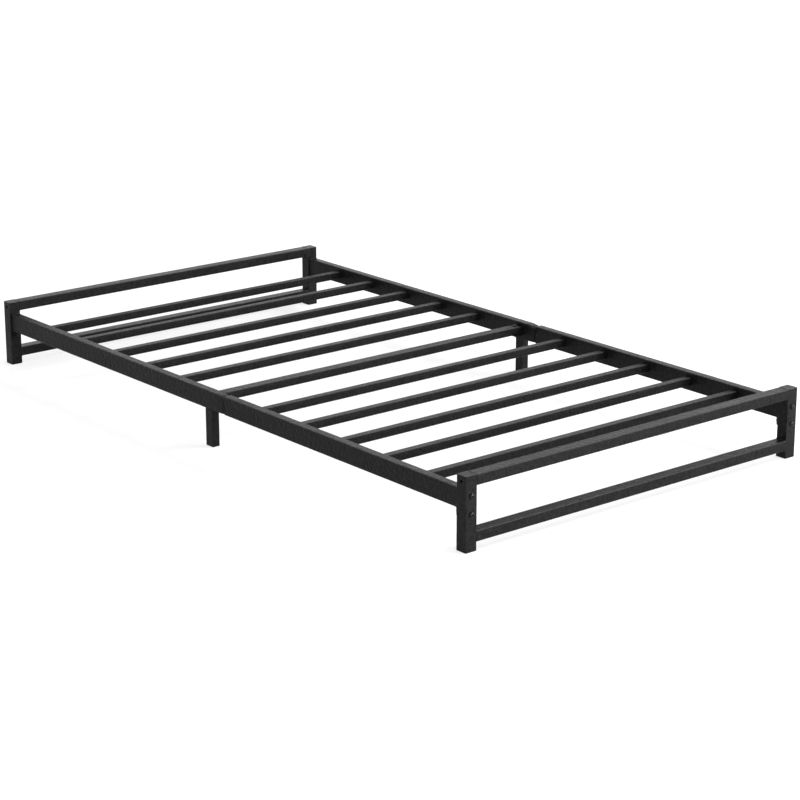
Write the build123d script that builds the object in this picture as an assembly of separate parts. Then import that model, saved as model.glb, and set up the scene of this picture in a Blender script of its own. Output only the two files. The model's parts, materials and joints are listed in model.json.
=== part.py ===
from build123d import *
import os

# Low-profile metal bed frame for a 1905 x 990 mm mattress, in millimetres.
# Origin: on the floor at the middle of the footprint. +X to the foot end, +Z up.
# Left is -Y and right is +Y, as seen from the foot end.

# ---- overall ----
LENGTH = 1970.0
WIDTH = 1075.0
HEIGHT = 178.0

# ---- end frames ----
POST = 33.0
POST_WALL = 1.5
POST_RADIUS = 3.0
BAR_DEPTH = 32.0
BAR_HEIGHT = 26.0
BAR_WALL = 1.2
BAR_RADIUS = 2.5
LOWER_BAR_BOTTOM = 20.5
TOP_PLATE = 1.5
VENT_HOLE = 8.0
VENT_HOLE_Z = 164.0

# ---- side rails ----
RAIL_THICKNESS = 24.0
RAIL_HEIGHT = 48.0
RAIL_TOP = 145.0
RAIL_INSET = 5.0
RAIL_WALL = 1.5
RAIL_RADIUS = 3.0
END_PLATE = 5.0
END_PLATE_BOTTOM = 78.0
END_PLATE_RADIUS = 3.0

# ---- joint between the two halves of a side rail ----
# The head half's end is drawn in, most of all at its top corners.
SHOULDER_START = 34.0
SHOULDER_MIDDLE = 54.0
SHOULDER_END = 64.0
MIDDLE_INSET = 0.3
MIDDLE_DROP = 1.2
MIDDLE_RADIUS = 6.0
END_INSET = 1.0
END_DROP = 3.0
END_RADIUS = 9.0
JOINT_X = 68.0
NECK_END = 147.0
NECK_THICKNESS = 16.0
NECK_HEIGHT = 38.0
NECK_RADIUS = 3.0
LINER_START = 72.0
LINER_END = 140.0
LINER_FIT = 0.1
SPLICE_SCREW_X = 110.0

# ---- mid legs and centre crossbar ----
LEG_WIDTH = 30.0
LEG_DEPTH = 22.0
LEG_WALL = 1.5
LEG_RADIUS = 2.5
CROSSBAR_WIDTH = 30.0
CROSSBAR_WALL = 1.2
SEAT_LENGTH = 30.0
SEAT_WIDTH = 40.0
SEAT_THICKNESS = 2.5
CROSSBAR_BOLT_INSET = 14.0

# ---- slats ----
SLAT_WIDTH = 20.0
SLAT_HEIGHT = 21.0
SLAT_WALL = 1.0
SLAT_RADIUS = 1.8
SLAT_DROP = 10.5
SLAT_PITCH = 157.1
MIDDLE_PITCH = 176.8
SLATS_PER_HALF = 5
END_FLANGE = 3.0
END_PLUG = 15.0
PIN_DIAMETER = 8.0
PIN_LENGTH = 18.0

# ---- glides ----
GLIDE_FLANGE = 3.0
GLIDE_CHAMFER = 0.8
GLIDE_PLUG = 12.0
PLUG_FIT = 0.1
PLUG_RADIUS = 2.0

# ---- fasteners ----
POST_BOLT = 8.0
POST_BOLT_HEAD = 13.0
POST_BOLT_HEAD_HEIGHT = 4.2
POST_BOLT_KEY = 5.0
POST_BOLT_Z = (88.0, 131.0)
POST_NUT_FLATS = 13.0
POST_NUT_HEIGHT = 6.5
SMALL_BOLT = 6.0
SMALL_BOLT_HEAD = 12.0
SMALL_BOLT_HEAD_HEIGHT = 3.6
SMALL_BOLT_KEY = 4.0
SMALL_NUT_FLATS = 10.0
SMALL_NUT_HEIGHT = 5.0
HOLE_PLAY = 0.5
KEY_DEPTH = 2.2
DOME_SHARE = 0.8
THREAD_TAIL = 1.0

# ---- all tubes ----
LEAST_RADIUS = 0.5
OVERCUT = 1.0

# ---- worked-out places ----
POST_X = LENGTH / 2 - POST / 2
POST_Y = WIDTH / 2 - POST / 2
POST_INNER_X = LENGTH / 2 - POST
POST_INNER_Y = WIDTH / 2 - POST
RAIL_OUTER_Y = WIDTH / 2 - RAIL_INSET
RAIL_INNER_Y = RAIL_OUTER_Y - RAIL_THICKNESS
RAIL_Y = (RAIL_OUTER_Y + RAIL_INNER_Y) / 2
RAIL_BOTTOM = RAIL_TOP - RAIL_HEIGHT
RAIL_Z = (RAIL_TOP + RAIL_BOTTOM) / 2
RAIL_END_X = POST_INNER_X - END_PLATE
NECK_FLOOR_Z = RAIL_Z - NECK_HEIGHT / 2 + RAIL_WALL
SLAT_TOP = RAIL_TOP - SLAT_DROP
SLAT_Z = SLAT_TOP - SLAT_HEIGHT / 2
SLAT_BOTTOM = SLAT_TOP - SLAT_HEIGHT
LEG_Y = RAIL_OUTER_Y - LEG_DEPTH / 2
CROSSBAR_BOLT_Y = RAIL_INNER_Y - CROSSBAR_BOLT_INSET
DECK_TUBE_LENGTH = 2 * (RAIL_INNER_Y - END_FLANGE)

ENDS = {"head": -1, "foot": 1}
SIDES = {"left": -1, "right": 1}
CORNERS = [(end, side) for end in ENDS.values() for side in SIDES.values()]

FACE_X = Plane(origin=(0, 0, 0), x_dir=(0, 1, 0), z_dir=(1, 0, 0))
FACE_Y = Plane(origin=(0, 0, 0), x_dir=(1, 0, 0), z_dir=(0, -1, 0))


def bar(plane, width, height, radius, length):
    """Solid bar with a rounded rectangular section, centred on the origin, along the plane's normal."""
    section = plane * RectangleRounded(width, height, radius)
    return extrude(section, amount=length / 2, both=True)


def tube(plane, width, height, wall, radius, length):
    """Hollow rectangular tube, open at both ends, centred on the origin."""
    inner_radius = max(radius - wall, LEAST_RADIUS)
    outer = bar(plane, width, height, radius, length)
    return outer - bar(plane, width - 2 * wall, height - 2 * wall, inner_radius, length + 2 * OVERCUT)


def rod(plane, diameter, start, end):
    """Round rod along the plane's normal, from start to end."""
    return extrude(plane.offset(start) * Circle(diameter / 2), amount=end - start)


def nut(plane, flats, height, bore, start):
    """Hexagon nut along the plane's normal, beginning at start."""
    blank = extrude(plane.offset(start) * RegularPolygon(flats / 2, 6, major_radius=False), amount=height)
    return blank - rod(plane, bore, start - OVERCUT, start + height + OVERCUT)


def button_bolt(diameter, head, head_height, key, length):
    """Button-head bolt: the head's underside at Z = 0, the dome up, the shank down."""
    dome = extrude(Circle(head / 2), amount=head_height)
    dome = fillet(dome.edges().group_by(Axis.Z)[-1], head_height * DOME_SHARE)
    hexagon = RegularPolygon(key / 2, 6, major_radius=False)
    socket = extrude(Plane.XY.offset(head_height - KEY_DEPTH) * hexagon, amount=KEY_DEPTH + OVERCUT)
    shank = rod(Plane.XY, diameter, -length, (head_height - KEY_DEPTH) / 2)
    return dome - socket + shank


# ---- end frames ----

def post(end, side):
    """Square-tube post with two bolt holes along X and a vent hole in its outer side."""
    height = HEIGHT - GLIDE_FLANGE
    body = Pos(end * POST_X, side * POST_Y, GLIDE_FLANGE + height / 2) * tube(
        Plane.XY, POST, POST, POST_WALL, POST_RADIUS, height)
    for z in POST_BOLT_Z:
        body -= Pos(end * POST_X, side * POST_Y, z) * rod(FACE_X, POST_BOLT + HOLE_PLAY, -POST, POST)
    vent = rod(FACE_Y, VENT_HOLE, -2 * POST_WALL, 2 * POST_WALL)
    return body - Pos(end * POST_X, side * WIDTH / 2, VENT_HOLE_Z) * vent


def top_plate(end, side):
    """Plate let into the top of a post, flush with the tube's end."""
    size = POST - 2 * POST_WALL
    plate = bar(Plane.XY, size, size, POST_RADIUS - POST_WALL, TOP_PLATE)
    return Pos(end * POST_X, side * POST_Y, HEIGHT - TOP_PLATE / 2) * plate


def cross_bar(end, bottom):
    """Bar of an end frame, butted between its two posts."""
    length = 2 * POST_INNER_Y
    return Pos(end * POST_X, 0, bottom + BAR_HEIGHT / 2) * tube(
        FACE_Y, BAR_DEPTH, BAR_HEIGHT, BAR_WALL, BAR_RADIUS, length)


def glide(x, y, width, depth, wall, radius):
    """Plastic glide: a flange under the tube and a plug pressed into it."""
    flange = extrude(RectangleRounded(width, depth, radius), amount=GLIDE_FLANGE)
    flange = chamfer(flange.faces().sort_by(Axis.Z)[0].edges(), GLIDE_CHAMFER)
    inside = 2 * (wall + PLUG_FIT)
    section = RectangleRounded(width - inside, depth - inside, PLUG_RADIUS)
    plug = extrude(Plane.XY.offset(GLIDE_FLANGE) * section, amount=GLIDE_PLUG)
    return Pos(x, y, 0) * (flange + plug)


# ---- side rails ----

def drawn_section(x, inset, drop, top_radius):
    """Rail section at X, narrowed by inset on each side and lowered by drop at the top."""
    width = RAIL_THICKNESS - 2 * inset
    height = RAIL_HEIGHT - inset - drop
    outline = Pos(0, -(drop - inset) / 2) * Rectangle(width, height)
    low, high = outline.vertices().group_by(Axis.Y)
    outline = fillet(high, top_radius)
    low = outline.vertices().group_by(Axis.Y)[0]
    return FACE_X.offset(x) * fillet(low, RAIL_RADIUS)


def shoulder(shrink):
    """Drawn-in stretch of the head half as a solid; shrink takes the wall off all round and at its end."""
    sections = [
        drawn_section(SHOULDER_START, shrink, shrink, RAIL_RADIUS),
        drawn_section(SHOULDER_MIDDLE, MIDDLE_INSET + shrink, MIDDLE_DROP + shrink, MIDDLE_RADIUS),
        drawn_section(SHOULDER_END - shrink, END_INSET + shrink, END_DROP + shrink, END_RADIUS)]
    return loft(sections, ruled=True)


def neck(shrink):
    """Straight end of the head half that slides into the foot half, from inside the shoulder."""
    start = SHOULDER_END - RAIL_WALL
    length = NECK_END - start
    radius = max(NECK_RADIUS - shrink, LEAST_RADIUS)
    return Pos(start + length / 2, 0, 0) * bar(
        FACE_X, NECK_THICKNESS - 2 * shrink, NECK_HEIGHT - 2 * shrink, radius, length)


def rail_tube(start, end):
    """Straight stretch of rail tube between two X positions, centred on the X axis."""
    return Pos((start + end) / 2, 0, 0) * tube(
        FACE_X, RAIL_THICKNESS, RAIL_HEIGHT, RAIL_WALL, RAIL_RADIUS, end - start)


def splice_hole():
    """Clearance hole for the splice screw, up through the rail's underside."""
    return Pos(SPLICE_SCREW_X, 0, 0) * rod(Plane.XY, SMALL_BOLT + HOLE_PLAY, -RAIL_HEIGHT, 0)


def head_rail(side):
    """Head half of a side rail: plain tube, drawn-in shoulder, then the neck."""
    rail = rail_tube(-RAIL_END_X, SHOULDER_START)
    rail += shoulder(0) - shoulder(RAIL_WALL)
    rail += neck(0)
    return Pos(0, side * RAIL_Y, RAIL_Z) * (rail - neck(RAIL_WALL) - splice_hole())


def foot_rail(side):
    """Foot half of a side rail: plain tube that the neck slides into."""
    return Pos(0, side * RAIL_Y, RAIL_Z) * (rail_tube(JOINT_X, RAIL_END_X) - splice_hole())


def splice_liner(side):
    """Plastic liner that fills the space between the neck and the foot half."""
    length = LINER_END - LINER_START
    outer = bar(FACE_X, RAIL_THICKNESS - 2 * RAIL_WALL - LINER_FIT, RAIL_HEIGHT - 2 * RAIL_WALL - LINER_FIT,
                RAIL_RADIUS - RAIL_WALL, length)
    inner = bar(FACE_X, NECK_THICKNESS + LINER_FIT, NECK_HEIGHT + LINER_FIT, NECK_RADIUS,
                length + 2 * OVERCUT)
    liner = Pos((LINER_START + LINER_END) / 2, 0, 0) * (outer - inner) - splice_hole()
    return Pos(0, side * RAIL_Y, RAIL_Z) * liner


def end_plate(end, side):
    """Plate across a rail's end, flush with the rail, with two holes that line up with the post's."""
    height = RAIL_TOP - END_PLATE_BOTTOM
    plate = bar(FACE_X, RAIL_THICKNESS, height, END_PLATE_RADIUS, END_PLATE)
    plate = Pos(0, side * RAIL_Y, END_PLATE_BOTTOM + height / 2) * plate
    for z in POST_BOLT_Z:
        plate -= Pos(0, side * POST_Y, z) * rod(FACE_X, POST_BOLT + HOLE_PLAY, -END_PLATE, END_PLATE)
    return Pos(end * (POST_INNER_X - END_PLATE / 2), 0, 0) * plate


def post_bolt(end, side, z):
    """Bolt through a post and an end plate, its head on the bed's outer end."""
    length = POST + END_PLATE + POST_NUT_HEIGHT + THREAD_TAIL
    bolt = button_bolt(POST_BOLT, POST_BOLT_HEAD, POST_BOLT_HEAD_HEIGHT, POST_BOLT_KEY, length)
    return Pos(end * LENGTH / 2, side * POST_Y, z) * Rot(0, end * 90, 0) * bolt


def post_nut(end, side, z):
    """Nut welded to the inner face of an end plate."""
    return Pos(end * RAIL_END_X, side * POST_Y, z) * Rot(0, end * -90, 0) * nut(
        Plane.XY, POST_NUT_FLATS, POST_NUT_HEIGHT, POST_BOLT, 0)


def splice_screw(side):
    """Screw up through the underside of the joint."""
    length = NECK_FLOOR_Z - RAIL_BOTTOM + SMALL_NUT_HEIGHT + THREAD_TAIL
    screw = button_bolt(SMALL_BOLT, SMALL_BOLT_HEAD, SMALL_BOLT_HEAD_HEIGHT, SMALL_BOLT_KEY, length)
    return Pos(SPLICE_SCREW_X, side * RAIL_Y, RAIL_BOTTOM) * Rot(180, 0, 0) * screw


def splice_nut(side):
    """Nut inside the neck that the splice screw pulls on."""
    return Pos(SPLICE_SCREW_X, side * RAIL_Y, NECK_FLOOR_Z) * nut(
        Plane.XY, SMALL_NUT_FLATS, SMALL_NUT_HEIGHT, SMALL_BOLT, 0)


# ---- middle support ----

def mid_leg(side):
    """Leg under the middle of a side rail, flush with the rail's outer face."""
    height = RAIL_BOTTOM - GLIDE_FLANGE
    return Pos(0, side * LEG_Y, GLIDE_FLANGE + height / 2) * tube(
        Plane.XY, LEG_WIDTH, LEG_DEPTH, LEG_WALL, LEG_RADIUS, height)


def bolt_hole(side):
    """Clearance hole for a crossbar bolt, along Z."""
    return Pos(0, side * CROSSBAR_BOLT_Y, 0) * rod(
        Plane.XY, SMALL_BOLT + HOLE_PLAY, -SLAT_HEIGHT, SLAT_HEIGHT)


def crossbar():
    """Centre crossbar, between the flanges of its end plugs."""
    beam = tube(FACE_Y, CROSSBAR_WIDTH, SLAT_HEIGHT, CROSSBAR_WALL, SLAT_RADIUS, DECK_TUBE_LENGTH)
    for side in SIDES.values():
        beam -= bolt_hole(side)
    return Pos(0, 0, SLAT_Z) * beam


def end_plug(side, width, wall, radius):
    """Plastic plug in the end of a deck tube: a flange as big as the tube, and a body inside it."""
    flange = Pos(0, -side * END_FLANGE / 2, 0) * bar(FACE_Y, width, SLAT_HEIGHT, radius, END_FLANGE)
    inside = 2 * (wall + PLUG_FIT)
    body = Pos(0, -side * (END_FLANGE + END_PLUG / 2), 0) * bar(
        FACE_Y, width - inside, SLAT_HEIGHT - inside, PLUG_RADIUS, END_PLUG)
    return Pos(0, side * RAIL_INNER_Y, 0) * (flange + body)


def crossbar_plug(side):
    """End plug of the centre crossbar, with the hole for its bolt."""
    plug = end_plug(side, CROSSBAR_WIDTH, CROSSBAR_WALL, SLAT_RADIUS)
    return Pos(0, 0, SLAT_Z) * (plug - bolt_hole(side))


def crossbar_seat(side):
    """Tab on the rail's inner face that the crossbar's end sits on."""
    tab = Pos(0, side * (RAIL_INNER_Y - SEAT_LENGTH / 2), -SEAT_THICKNESS / 2) * Box(
        SEAT_WIDTH, SEAT_LENGTH, SEAT_THICKNESS)
    return Pos(0, 0, SLAT_BOTTOM) * (tab - bolt_hole(side))


def crossbar_bolt(side):
    """Bolt down through the crossbar and its seat."""
    length = SLAT_HEIGHT + SEAT_THICKNESS + SMALL_NUT_HEIGHT + THREAD_TAIL
    bolt = button_bolt(SMALL_BOLT, SMALL_BOLT_HEAD, SMALL_BOLT_HEAD_HEIGHT, SMALL_BOLT_KEY, length)
    return Pos(0, side * CROSSBAR_BOLT_Y, SLAT_TOP) * bolt


def crossbar_nut(side):
    """Nut under the crossbar's seat."""
    underside = SLAT_BOTTOM - SEAT_THICKNESS
    return Pos(0, side * CROSSBAR_BOLT_Y, underside - SMALL_NUT_HEIGHT) * nut(
        Plane.XY, SMALL_NUT_FLATS, SMALL_NUT_HEIGHT, SMALL_BOLT, 0)


# ---- deck ----

def slat_positions():
    """X of every slat, from head to foot: two even groups either side of the centre crossbar."""
    foot_half = [MIDDLE_PITCH + SLAT_PITCH * step for step in range(SLATS_PER_HALF)]
    return [-x for x in reversed(foot_half)] + foot_half


def slat(x):
    """Slat tube between the flanges of its two plugs."""
    return Pos(x, 0, SLAT_Z) * tube(
        FACE_Y, SLAT_WIDTH, SLAT_HEIGHT, SLAT_WALL, SLAT_RADIUS, DECK_TUBE_LENGTH)


def slat_plug(x, side):
    """End plug of a slat, with the hole that takes the rail's pin."""
    hole = Pos(0, side * RAIL_INNER_Y, 0) * rod(FACE_Y, PIN_DIAMETER, -2 * PIN_LENGTH, 2 * PIN_LENGTH)
    return Pos(x, 0, SLAT_Z) * (end_plug(side, SLAT_WIDTH, SLAT_WALL, SLAT_RADIUS) - hole)


def slat_pin(x, side):
    """Pin on the rail's inner face that carries a slat's end."""
    start, end = sorted((0, side * PIN_LENGTH))
    return Pos(x, side * RAIL_INNER_Y, SLAT_Z) * rod(FACE_Y, PIN_DIAMETER, start, end)


def assembly():
    """Every node of the bed frame, by name."""
    nodes = {}
    for end_name, end in ENDS.items():
        for side_name, side in SIDES.items():
            nodes[f"{end_name}_post_{side_name}"] = [post(end, side)]
        nodes[f"{end_name}_top_bar"] = [cross_bar(end, HEIGHT - BAR_HEIGHT)]
        nodes[f"{end_name}_lower_bar"] = [cross_bar(end, LOWER_BAR_BOTTOM)]
    for side_name, side in SIDES.items():
        nodes[f"side_rail_{side_name}_head_half"] = [head_rail(side)]
        nodes[f"side_rail_{side_name}_foot_half"] = [foot_rail(side)]
        nodes[f"mid_leg_{side_name}"] = [mid_leg(side)]
    for number, x in enumerate(slat_positions(), 1):
        nodes[f"slat_{number:02d}"] = [slat(x)]
    sides = list(SIDES.values())
    slat_ends = [(x, side) for x in slat_positions() for side in sides]
    bolt_places = [(end, side, z) for end, side in CORNERS for z in POST_BOLT_Z]
    nodes["centre_crossbar"] = [crossbar()]
    nodes["crossbar_end_plugs"] = [crossbar_plug(side) for side in sides]
    nodes["crossbar_seat_tabs"] = [crossbar_seat(side) for side in sides]
    nodes["crossbar_bolts"] = [crossbar_bolt(side) for side in sides]
    nodes["crossbar_nuts"] = [crossbar_nut(side) for side in sides]
    nodes["slat_end_plugs"] = [slat_plug(x, side) for x, side in slat_ends]
    nodes["slat_pins"] = [slat_pin(x, side) for x, side in slat_ends]
    nodes["rail_end_plates"] = [end_plate(end, side) for end, side in CORNERS]
    nodes["rail_splice_liners"] = [splice_liner(side) for side in sides]
    nodes["rail_splice_screws"] = [splice_screw(side) for side in sides]
    nodes["rail_splice_nuts"] = [splice_nut(side) for side in sides]
    nodes["post_bolts"] = [post_bolt(*place) for place in bolt_places]
    nodes["post_weld_nuts"] = [post_nut(*place) for place in bolt_places]
    nodes["post_top_plates"] = [top_plate(end, side) for end, side in CORNERS]
    nodes["post_glides"] = [
        glide(end * POST_X, side * POST_Y, POST, POST, POST_WALL, POST_RADIUS) for end, side in CORNERS]
    nodes["mid_leg_glides"] = [
        glide(0, side * LEG_Y, LEG_WIDTH, LEG_DEPTH, LEG_WALL, LEG_RADIUS) for side in sides]
    return nodes


def solid_of(shape):
    """The single solid in a shape."""
    solids = shape.solids()
    assert len(solids) == 1, f"expected one solid, found {len(solids)}"
    return solids[0]


os.makedirs("parts", exist_ok=True)
for name, shapes in assembly().items():
    solids = [solid_of(shape) for shape in shapes]
    export_step(solids[0] if len(solids) == 1 else Compound(children=solids), f"parts/{name}.step")
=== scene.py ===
import json
import math
import random

import bmesh
import bpy
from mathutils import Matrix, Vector

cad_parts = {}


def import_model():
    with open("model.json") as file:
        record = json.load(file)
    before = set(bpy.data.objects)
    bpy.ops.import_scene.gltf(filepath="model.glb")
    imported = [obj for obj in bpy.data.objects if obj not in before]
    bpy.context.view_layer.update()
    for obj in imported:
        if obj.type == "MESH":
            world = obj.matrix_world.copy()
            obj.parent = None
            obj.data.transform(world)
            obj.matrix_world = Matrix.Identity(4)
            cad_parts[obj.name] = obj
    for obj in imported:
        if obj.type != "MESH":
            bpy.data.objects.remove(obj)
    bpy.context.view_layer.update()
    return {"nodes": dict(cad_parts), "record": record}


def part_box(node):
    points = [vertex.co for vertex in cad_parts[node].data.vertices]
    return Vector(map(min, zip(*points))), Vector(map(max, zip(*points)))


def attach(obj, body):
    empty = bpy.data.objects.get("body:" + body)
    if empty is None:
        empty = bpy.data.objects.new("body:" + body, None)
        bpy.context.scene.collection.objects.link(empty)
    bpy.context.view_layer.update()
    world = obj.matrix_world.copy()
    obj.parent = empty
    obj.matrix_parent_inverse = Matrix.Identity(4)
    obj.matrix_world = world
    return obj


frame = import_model()

# ---------- powder coat, nylon and zinc: scales per metre, depths in metres ----------

NOISE_LOW, NOISE_HIGH = 0.3, 0.7
COAT_IOR = 1.16
COAT_DARK, COAT_LIGHT = (0.0008, 0.0008, 0.00085), (0.0100, 0.0100, 0.0104)
COAT_ROUGHNESS = 0.40
CLOUD_SCALE, MOTTLE_SCALE, GRAIN_SCALE, PEEL_SCALE = 5.0, 100.0, 190.0, 1100.0
LINE_SCALE, WAVE_SCALE, WEAR_AND_HIGHLIGHT_SCALE = 260.0, 24.0, 70.0
MOTTLE_DEPTH, GRAIN_DEPTH, PEEL_DEPTH, LINE_DEPTH, WAVE_DEPTH = 0.0032, 0.0020, 0.0001, 0.0002, 0.001
MOTTLE_STRENGTH, GRAIN_STRENGTH, PEEL_STRENGTH, LINE_STRENGTH, WAVE_STRENGTH = 0.5, 0.5, 0.6, 0.25, 0.12
MOTTLE_LOW, MOTTLE_HIGH = 0.35, 0.65
MOTTLE_TONE, GRAIN_TONE, TONE_REACH = 0.35, 0.4, 0.7
CLOUD_SHEEN, GRAIN_SHEEN, MOTTLE_SHEEN, LINE_SHEEN = 0.03, 0.06, 0.05, 0.03
# Pale coat for rounded edges: partly wear, partly a painted highlight that is strongest on upward edges.
EDGE_WEAR_AND_HIGHLIGHT_COAT = (0.036, 0.036, 0.037)
WEAR_AND_HIGHLIGHT_LOW, WEAR_AND_HIGHLIGHT_HIGH, LEAST_WEAR_AND_HIGHLIGHT = 0.3, 0.65, 0.35
FLAT_FACE, ROUND_EDGE = 0.97, 0.86
SIDE_HIGHLIGHT_AND_WEAR, FULL_HIGHLIGHT_AND_WEAR_TILT = 0.4, 0.5
RUN_STRETCH = 0.02

NYLON_DARK, NYLON_LIGHT = (0.004, 0.004, 0.0042), (0.008, 0.008, 0.0084)
NYLON_CLOUD_SCALE, NYLON_TEXTURE_SCALE = 90.0, 700.0
NYLON_SMOOTH, NYLON_ROUGH = 0.48, 0.62
NYLON_DEPTH, NYLON_STRENGTH = 0.00015, 0.5

ZINC_DARK, ZINC_LIGHT = (0.010, 0.010, 0.0104), (0.022, 0.022, 0.0226)
ZINC_PATCH_SCALE, ZINC_SHEEN_SCALE, ZINC_MARK_SCALE = 220.0, 320.0, 1200.0
ZINC_SMOOTH, ZINC_ROUGH = 0.24, 0.42
ZINC_DEPTH, ZINC_STRENGTH = 0.0001, 0.4
ZINC_METALLIC = 0.85

# ---------- weld beads, in metres ----------

BEAD_RADIUS, RAIL_BEAD_RADIUS, TACK_RADIUS = 0.0020, 0.0022, 0.0014
BEAD_INSET, BAR_CORNER = 0.0006, 0.0024
MARK_RADIUS, MARK_SINK = 0.0016, 0.0010
RING_POINTS, CORNER_STEPS = 10, 6
STEP, RIPPLE_PITCH = 0.0006, 0.0021
RIPPLE_BASE, RIPPLE_RISE, RIPPLE_JITTER = 0.86, 0.2, 0.02
END_SHARE, END_TAPER = 0.35, 0.0025
BOLT_HEAD, END_PLATE, NUT_ROUND = 0.013, 0.005, 0.0071
TACKS, TACK_POINTS, TACK_STEP, TACK_TURN = 3, 9, 0.1, 0.3
X, Y, Z = Vector((1, 0, 0)), Vector((0, 1, 0)), Vector((0, 0, 1))
draw = random.Random(7)

# ---------- studio ----------

FLOOR_Z, FLOOR_REACH, FLOOR_GLOW = -0.0002, 30.0, 0.66
FLOOR_DARK, FLOOR_LIGHT = (0.33, 0.33, 0.33), (0.35, 0.35, 0.35)
FLOOR_CLOUD_SCALE, FLOOR_ROUGHNESS = 2.0, 0.9
WHITE = (1.0, 1.0, 1.0, 1.0)
HORIZON, ZENITH = 1.01, 0.75
HORIZON_TOP, ZENITH_FROM = 0.15, 0.7
BACKDROP, BACK_GLOW = (-0.75, 0.62, 0.23), 1.0
GLOW_EDGE, GLOW_FULL = 0.3, 0.9
CAMERA_PLACE, CAMERA_LENS = (4.6651, -3.7452, 1.8425), 106.63
CAMERA_YAW, CAMERA_DIP = 140.613, 16.965
CAMERA_SENSOR, CAMERA_REACH = 36.0, 100.0


# ---------- node helpers ----------

def set_range(node, low, high, to_low, to_high):
    """Set a Map Range node to turn low..high into to_low..to_high."""
    node.inputs["From Min"].default_value = low
    node.inputs["From Max"].default_value = high
    node.inputs["To Min"].default_value = to_low
    node.inputs["To Max"].default_value = to_high


class Tree:
    """A few short calls for building a material's nodes."""

    def __init__(self, name):
        self.material = bpy.data.materials.new(name)
        self.material.use_nodes = True
        self.nodes = self.material.node_tree.nodes
        self.links = self.material.node_tree.links
        self.nodes.clear()
        output = self.add("ShaderNodeOutputMaterial")
        self.shader = self.add("ShaderNodeBsdfPrincipled")
        self.link(self.shader.outputs[0], output.inputs["Surface"])
        self.coords = self.add("ShaderNodeTexCoord").outputs["Object"]

    def add(self, kind, **settings):
        node = self.nodes.new(kind)
        for key, value in settings.items():
            setattr(node, key, value)
        return node

    def link(self, source, target):
        self.links.new(source, target)

    def noise(self, scale, detail=2.0, roughness=0.5, vector=None):
        node = self.add("ShaderNodeTexNoise")
        node.inputs["Scale"].default_value = scale
        node.inputs["Detail"].default_value = detail
        node.inputs["Roughness"].default_value = roughness
        self.link(vector or self.coords, node.inputs["Vector"])
        return node.outputs["Fac"]

    def voronoi(self, scale):
        node = self.add("ShaderNodeTexVoronoi", feature="SMOOTH_F1")
        node.inputs["Scale"].default_value = scale
        self.link(self.coords, node.inputs["Vector"])
        return node.outputs["Distance"]

    def remap(self, value, low, high, to_low, to_high):
        node = self.add("ShaderNodeMapRange")
        self.link(value, node.inputs["Value"])
        set_range(node, low, high, to_low, to_high)
        return node.outputs["Result"]

    def swing(self, value, reach, low=NOISE_LOW, high=NOISE_HIGH):
        """A noise's usual range, low to high, spread over minus reach to plus reach."""
        return self.remap(value, low, high, -reach, reach)

    def math(self, operation, a, b):
        node = self.add("ShaderNodeMath", operation=operation)
        for socket, value in zip(node.inputs, (a, b)):
            if isinstance(value, (int, float)):
                socket.default_value = value
            else:
                self.link(value, socket)
        return node.outputs[0]

    def edges(self):
        """Painted edge highlight and wear mask: 0 on the flat faces, 1 on rounded edges, less on edges that
        face down or sideways, so upward edges get the most painted highlight.
        """
        normal = self.add("ShaderNodeTexCoord").outputs["Normal"]
        size = self.add("ShaderNodeVectorMath", operation="ABSOLUTE")
        self.link(normal, size.inputs[0])
        parts = self.add("ShaderNodeSeparateXYZ")
        self.link(size.outputs[0], parts.inputs[0])
        x, y, z = parts.outputs
        largest = self.math("MAXIMUM", x, self.math("MAXIMUM", y, z))
        height = self.add("ShaderNodeSeparateXYZ")
        self.link(normal, height.inputs[0])
        # Upward edges take more of the pale coat, a painted highlight as if lit from above.
        facing_up = self.remap(height.outputs[2], 0.0, FULL_HIGHLIGHT_AND_WEAR_TILT, SIDE_HIGHLIGHT_AND_WEAR, 1.0)
        return self.math("MULTIPLY", self.remap(largest, FLAT_FACE, ROUND_EDGE, 0.0, 1.0), facing_up)

    def mix(self, factor, a, b):
        node = self.add("ShaderNodeMix", data_type="RGBA")
        self.link(factor, node.inputs["Factor"])
        for socket, value in zip((node.inputs[6], node.inputs[7]), (a, b)):
            if isinstance(value, tuple):
                socket.default_value = (*value, 1.0)
            else:
                self.link(value, socket)
        return node.outputs[2]

    def bump(self, height, distance, strength, normal=None):
        node = self.add("ShaderNodeBump")
        node.inputs["Distance"].default_value = distance
        node.inputs["Strength"].default_value = strength
        self.link(height, node.inputs["Height"])
        if normal:
            self.link(normal, node.inputs["Normal"])
        return node.outputs["Normal"]


# ---------- materials ----------

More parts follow.
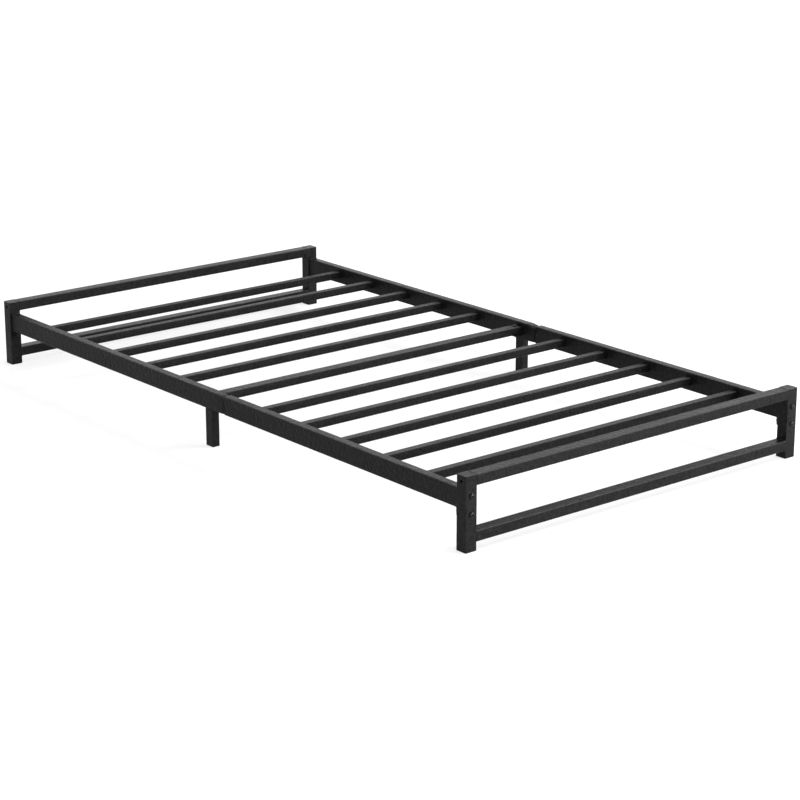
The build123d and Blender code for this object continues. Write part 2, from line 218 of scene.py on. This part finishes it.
def powder_coat(name, run):
    """Semi-gloss black powder coat: peel, grain, mottling, faint lines along the tube, and rounded edges
    lightened, partly as wear and partly as a painted highlight.
    """
    t = Tree(name)
    along = t.add("ShaderNodeMapping")
    along.inputs["Scale"].default_value = run
    t.link(t.coords, along.inputs["Vector"])
    cloud = t.noise(CLOUD_SCALE, detail=4.0)
    grain = t.noise(GRAIN_SCALE, detail=4.0, roughness=0.7)
    mottle = t.noise(MOTTLE_SCALE, detail=3.0, roughness=0.6)
    lines = t.noise(LINE_SCALE, detail=3.0, roughness=0.6, vector=along.outputs[0])
    tone = t.math("ADD", t.swing(mottle, MOTTLE_TONE, MOTTLE_LOW, MOTTLE_HIGH), t.swing(grain, GRAIN_TONE))
    coat = t.mix(t.remap(tone, -TONE_REACH, TONE_REACH, 0.0, 1.0), COAT_DARK, COAT_LIGHT)
    patchy = t.remap(t.noise(WEAR_AND_HIGHLIGHT_SCALE, detail=4.0, roughness=0.6), WEAR_AND_HIGHLIGHT_LOW, WEAR_AND_HIGHLIGHT_HIGH, LEAST_WEAR_AND_HIGHLIGHT, 1.0)
    # Rounded edges mixed towards the pale coat: partly wear, partly a painted edge highlight.
    worn_and_highlit = t.math("MULTIPLY", t.edges(), patchy)
    t.link(t.mix(worn_and_highlit, coat, EDGE_WEAR_AND_HIGHLIGHT_COAT), t.shader.inputs["Base Color"])
    rough = t.math("ADD", t.swing(cloud, CLOUD_SHEEN), t.swing(grain, GRAIN_SHEEN))
    rough = t.math("ADD", rough, t.swing(mottle, MOTTLE_SHEEN))
    rough = t.math("ADD", rough, t.swing(lines, LINE_SHEEN))
    t.link(t.math("ADD", rough, COAT_ROUGHNESS), t.shader.inputs["Roughness"])
    peel = t.bump(t.voronoi(PEEL_SCALE), PEEL_DEPTH, PEEL_STRENGTH)
    pitted = t.bump(grain, GRAIN_DEPTH, GRAIN_STRENGTH, peel)
    drawn = t.bump(lines, LINE_DEPTH, LINE_STRENGTH, pitted)
    waved = t.bump(t.noise(WAVE_SCALE), WAVE_DEPTH, WAVE_STRENGTH, drawn)
    t.link(t.bump(mottle, MOTTLE_DEPTH, MOTTLE_STRENGTH, waved), t.shader.inputs["Normal"])
    t.shader.inputs["IOR"].default_value = COAT_IOR
    return t.material


def nylon(name):
    """Moulded black nylon: fine spark-eroded texture and slight flow clouding."""
    t = Tree(name)
    fine = t.noise(NYLON_TEXTURE_SCALE, detail=4.0, roughness=0.7)
    cloud = t.noise(NYLON_CLOUD_SCALE, detail=3.0)
    t.link(t.mix(cloud, NYLON_DARK, NYLON_LIGHT), t.shader.inputs["Base Color"])
    t.link(t.remap(fine, NOISE_LOW, NOISE_HIGH, NYLON_SMOOTH, NYLON_ROUGH), t.shader.inputs["Roughness"])
    t.link(t.bump(fine, NYLON_DEPTH, NYLON_STRENGTH), t.shader.inputs["Normal"])
    t.shader.inputs["IOR"].default_value = COAT_IOR
    return t.material


def zinc_steel(name):
    """Black zinc plating on fasteners: patchy sheen and fine marks."""
    t = Tree(name)
    patch = t.noise(ZINC_PATCH_SCALE, detail=4.0, roughness=0.6)
    t.link(t.mix(patch, ZINC_DARK, ZINC_LIGHT), t.shader.inputs["Base Color"])
    sheen = t.noise(ZINC_SHEEN_SCALE, detail=3.0)
    t.link(t.remap(sheen, NOISE_LOW, NOISE_HIGH, ZINC_SMOOTH, ZINC_ROUGH), t.shader.inputs["Roughness"])
    marks = t.noise(ZINC_MARK_SCALE, detail=3.0)
    t.link(t.bump(marks, ZINC_DEPTH, ZINC_STRENGTH), t.shader.inputs["Normal"])
    t.shader.inputs["Metallic"].default_value = ZINC_METALLIC
    return t.material


def run_scale(axis):
    """Texture scale that draws the fine lines out along one axis."""
    return tuple(RUN_STRETCH if name == axis else 1.0 for name in "xyz")


def longest_axis(node):
    low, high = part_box(node)
    size = high - low
    return "xyz"[max(range(3), key=lambda i: size[i])]


def paint_cad():
    """Give each CAD node its material; the coat's lines run along the node's longest side."""
    for part in frame["record"]["subparts"]:
        node, slot = part["node"], part["material_slot"]
        data = frame["nodes"][node].data
        data.materials.clear()
        data.materials.append(PLAIN.get(slot) or COATS[longest_axis(node)])


COATS = {axis: powder_coat("powder_coat_" + axis, run_scale(axis)) for axis in "xyz"}
PLAIN = {"black_nylon": nylon("black_nylon"), "black_zinc_steel": zinc_steel("black_zinc_steel")}
paint_cad()


# ---------- weld beads ----------

def resample(points):
    """The same line, with points STEP apart."""
    line = [points[0]]
    for p, q in zip(points, points[1:]):
        count = max(1, round(math.dist(p, q) / STEP))
        line += [tuple(p[i] + (q[i] - p[i]) * k / count for i in range(len(p))) for k in range(1, count + 1)]
    return line


def rounded_outline(width, height, radius):
    """Points about STEP apart round a rounded rectangle, from the middle of its top edge, anticlockwise."""
    a, b = width / 2 - radius, height / 2 - radius
    turn = math.pi / 2
    corners = [(-a, b, turn), (-a, -b, 2 * turn), (a, -b, 3 * turn), (a, b, 4 * turn)]
    points = [(0.0, height / 2)]
    for cx, cy, angle in corners:
        for k in range(CORNER_STEPS + 1):
            at = angle + turn * k / CORNER_STEPS
            points.append((cx + radius * math.cos(at), cy + radius * math.sin(at)))
    return resample(points + [(0.0, height / 2)])


def straight(start, end):
    """A straight line of points STEP apart."""
    return [Vector(p) for p in resample([start, end])]


def placed(outline, centre, across, up):
    """A flat outline set in space round centre."""
    return [centre + u * across + v * up for u, v in outline]


def open_run(outline, keep):
    """The unbroken run of a closed outline's points that keep() accepts."""
    points = outline[:-1]
    start = next(i for i in range(len(points)) if keep(points[i]) and not keep(points[i - 1]))
    points = points[start:] + points[:start]
    return [p for p in points if keep(p)]


def add_bead(mesh, points, axis, radius, closed):
    """A rippled bead along points that lie in a plane square to axis."""
    count = len(points)
    angles = [2 * math.pi * j / RING_POINTS for j in range(RING_POINTS)]
    rings = []
    for k, point in enumerate(points):
        back = points[(k - 1) % count] if closed or k else point
        ahead = points[(k + 1) % count] if closed or k < count - 1 else point
        side = (ahead - back).normalized().cross(axis)
        ripple = abs(math.sin(math.pi * k * STEP / RIPPLE_PITCH))
        thick = radius * (RIPPLE_BASE + RIPPLE_RISE * ripple + draw.uniform(-RIPPLE_JITTER, RIPPLE_JITTER))
        if not closed:
            thick *= min(1.0, END_SHARE + min(k, count - 1 - k) * STEP / END_TAPER)
        ring = [point + thick * (math.cos(a) * axis + math.sin(a) * side) for a in angles]
        rings.append([mesh.verts.new(place) for place in ring])
    spans = count if closed else count - 1
    for k in range(spans):
        first, second = rings[k], rings[(k + 1) % count]
        for j in range(RING_POINTS):
            i = (j + 1) % RING_POINTS
            mesh.faces.new((first[j], first[i], second[i], second[j]))
    if not closed:
        mesh.faces.new(list(reversed(rings[0])))
        mesh.faces.new(rings[-1])


def bead_piece(name, paths):
    """One piece holding several beads: paths are (points, axis, radius, closed)."""
    mesh = bmesh.new()
    for path in paths:
        add_bead(mesh, *path)
    bmesh.ops.recalc_face_normals(mesh, faces=mesh.faces)
    for face in mesh.faces:
        face.smooth = True
    data = bpy.data.meshes.new(name)
    mesh.to_mesh(data)
    mesh.free()
    piece = bpy.data.objects.new(name, data)
    bpy.context.scene.collection.objects.link(piece)
    data.materials.append(COATS["z"])
    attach(piece, "root")


def bar_run(bar):
    """A bar's outline without its outer face and, on a top bar, without its top."""
    low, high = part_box(bar)
    outer = -1 if bar.startswith("head") else 1
    width, height = high.x - low.x - 2 * BEAD_INSET, high.z - low.z - 2 * BEAD_INSET
    side, top = width / 2 - BAR_CORNER, height / 2 - BAR_CORNER
    outline = rounded_outline(width, height, BAR_CORNER)
    return open_run(outline, lambda p: outer * p[0] < side and ("lower" in bar or p[1] < top))


def end_frame_beads():
    """Round each end of the four cross bars, apart from the faces that are ground clean."""
    paths = []
    for bar in ("head_top_bar", "head_lower_bar", "foot_top_bar", "foot_lower_bar"):
        low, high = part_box(bar)
        for end in (low.y, high.y):
            centre = Vector(((low.x + high.x) / 2, end, (low.z + high.z) / 2))
            paths.append((placed(bar_run(bar), centre, X, Z), Y, BEAD_RADIUS, False))
    bead_piece("weld_beads_end_frames", paths)


def end_plate_beads():
    """Round each rail where it meets its end plate."""
    paths = []
    for side in ("left", "right"):
        for half, pick in (("head", 0), ("foot", 1)):
            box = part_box(f"side_rail_{side}_{half}_half")
            size, middle = box[1] - box[0], (box[0] + box[1]) / 2
            outline = rounded_outline(size.y - 2 * BEAD_INSET, size.z - 2 * BEAD_INSET, BAR_CORNER)
            centre = Vector((box[pick].x, middle.y, middle.z))
            paths.append((placed(outline[:-1], centre, Y, Z), X, RAIL_BEAD_RADIUS, True))
    bead_piece("weld_beads_end_plates", paths)


def leg_beads():
    """Round each mid leg's top, apart from the outer face, which is flush with the rail."""
    paths = []
    for side, out in (("left", -1), ("right", 1)):
        low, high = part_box("mid_leg_" + side)
        centre = Vector(((low.x + high.x) / 2, (low.y + high.y) / 2, high.z))
        width, depth = high.x - low.x - 2 * BEAD_INSET, high.y - low.y - 2 * BEAD_INSET
        run = open_run(rounded_outline(width, depth, BAR_CORNER), lambda p: p[1] < depth / 2 - BAR_CORNER)
        paths.append((placed(run, centre, X, Y * out), Z, BEAD_RADIUS, False))
    bead_piece("weld_beads_mid_legs", paths)


def top_marks():
    """Low ground-back welds across the top, where each top bar meets its posts."""
    paths = []
    for bar in ("head_top_bar", "foot_top_bar"):
        low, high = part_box(bar)
        level = high.z - MARK_SINK
        for y in (low.y, high.y):
            mark = straight((low.x + BAR_CORNER, y, level), (high.x - BAR_CORNER, y, level))
            paths.append((mark, Z, MARK_RADIUS, False))
    bead_piece("weld_marks_tops", paths)


def tab_beads():
    """Under each crossbar seat, along the rail."""
    low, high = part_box("crossbar_seat_tabs")
    paths = []
    for y in (low.y, high.y):
        bead = straight((low.x + BEAD_RADIUS, y, low.z), (high.x - BEAD_RADIUS, y, low.z))
        paths.append((bead, Z, BEAD_RADIUS, False))
    bead_piece("weld_beads_seat_tabs", paths)


def nut_tack(face, y, z, start):
    """A short arc round a nut at y, z, on the end plate's face."""
    angles = [start + TACK_STEP * j for j in range(TACK_POINTS)]
    arc = [(face, y + NUT_ROUND * math.cos(a), z + NUT_ROUND * math.sin(a)) for a in angles]
    return [Vector(p) for p in resample(arc)]


def nut_tacks():
    """Three tacks round each weld nut."""
    low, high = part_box("post_bolts")
    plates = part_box("rail_end_plates")
    paths = []
    for face in (plates[0].x + END_PLATE, plates[1].x - END_PLATE):
        for y in (low.y + BOLT_HEAD / 2, high.y - BOLT_HEAD / 2):
            for z in (low.z + BOLT_HEAD / 2, high.z - BOLT_HEAD / 2):
                for k in range(TACKS):
                    tack = nut_tack(face, y, z, 2 * math.pi * k / TACKS + TACK_TURN)
                    paths.append((tack, X, TACK_RADIUS, False))
    bead_piece("weld_tacks_nuts", paths)


end_frame_beads()
end_plate_beads()
leg_beads()
top_marks()
tab_beads()
nut_tacks()


# ---------- floor, light and camera ----------

def floor():
    """Plain pale floor, self-lit enough to stay white, with faint contact shadows."""
    mesh = bpy.data.meshes.new("floor")
    signs = [(-1, -1), (1, -1), (1, 1), (-1, 1)]
    mesh.from_pydata([(x * FLOOR_REACH, y * FLOOR_REACH, FLOOR_Z) for x, y in signs], [], [(0, 1, 2, 3)])
    piece = bpy.data.objects.new("floor", mesh)
    bpy.context.scene.collection.objects.link(piece)
    t = Tree("floor_white")
    cloud = t.noise(FLOOR_CLOUD_SCALE, detail=4.0)
    t.link(t.mix(cloud, FLOOR_DARK, FLOOR_LIGHT), t.shader.inputs["Base Color"])
    t.shader.inputs["Roughness"].default_value = FLOOR_ROUGHNESS
    t.shader.inputs["Specular IOR Level"].default_value = 0.0
    t.shader.inputs["Emission Color"].default_value = WHITE
    t.shader.inputs["Emission Strength"].default_value = FLOOR_GLOW
    mesh.materials.append(t.material)


def area(name, place, target, size, power):
    """Rectangular area light at place, facing target and hidden from the camera."""
    light = bpy.data.lights.new(name, "AREA")
    light.shape = "RECTANGLE"
    light.size, light.size_y = size
    light.energy = power
    lamp = bpy.data.objects.new(name, light)
    lamp.visible_camera = False
    lamp.location = place
    lamp.rotation_euler = (Vector(target) - Vector(place)).to_track_quat("-Z", "Y").to_euler()
    bpy.context.scene.collection.objects.link(lamp)


def world():
    """Soft studio surround: brighter low down than overhead, and brightest behind the far head corner."""
    sky = bpy.data.worlds.new("studio")
    sky.use_nodes = True
    nodes, links = sky.node_tree.nodes, sky.node_tree.links
    coords = nodes.new("ShaderNodeTexCoord")
    split = nodes.new("ShaderNodeSeparateXYZ")
    ramp = nodes.new("ShaderNodeMapRange")
    links.new(coords.outputs["Generated"], split.inputs[0])
    links.new(split.outputs["Z"], ramp.inputs["Value"])
    set_range(ramp, HORIZON_TOP, ZENITH_FROM, HORIZON, ZENITH)
    facing = nodes.new("ShaderNodeVectorMath")
    facing.operation = "DOT_PRODUCT"
    facing.inputs[1].default_value = BACKDROP
    links.new(coords.outputs["Generated"], facing.inputs[0])
    glow = nodes.new("ShaderNodeMapRange")
    links.new(facing.outputs["Value"], glow.inputs["Value"])
    set_range(glow, GLOW_EDGE, GLOW_FULL, 0.0, BACK_GLOW)
    total = nodes.new("ShaderNodeMath")
    total.operation = "ADD"
    links.new(ramp.outputs["Result"], total.inputs[0])
    links.new(glow.outputs["Result"], total.inputs[1])
    links.new(total.outputs[0], nodes["Background"].inputs["Strength"])
    nodes["Background"].inputs["Color"].default_value = WHITE
    bpy.context.scene.world = sky


def camera():
    """Camera at the photo's viewing angle, without shift or depth of field."""
    data = bpy.data.cameras.new("camera")
    data.sensor_width = CAMERA_SENSOR
    data.lens = CAMERA_LENS
    data.clip_end = CAMERA_REACH
    view = bpy.data.objects.new("camera", data)
    view.location = CAMERA_PLACE
    yaw, dip = math.radians(CAMERA_YAW), math.radians(CAMERA_DIP)
    aim = Vector((math.cos(yaw) * math.cos(dip), math.sin(yaw) * math.cos(dip), -math.sin(dip)))
    view.rotation_euler = aim.to_track_quat("-Z", "Y").to_euler()
    bpy.context.scene.collection.objects.link(view)
    bpy.context.scene.camera = view


floor()
world()
area("edge_light", place=(1.8, 3.4, 3.4), target=(0.0, 0.0, 0.1), size=(2.0, 1.2), power=200.0)
area("foot_light", place=(4.6, 1.6, 0.9), target=(0.6, 0.0, 0.1), size=(2.5, 1.6), power=300.0)
area("camera_fill", place=(4.4, -4.4, 0.9), target=(0.0, 0.0, 0.1), size=(1.6, 1.2), power=40.0)
camera()
bpy.context.scene.view_settings.view_transform = "Standard"
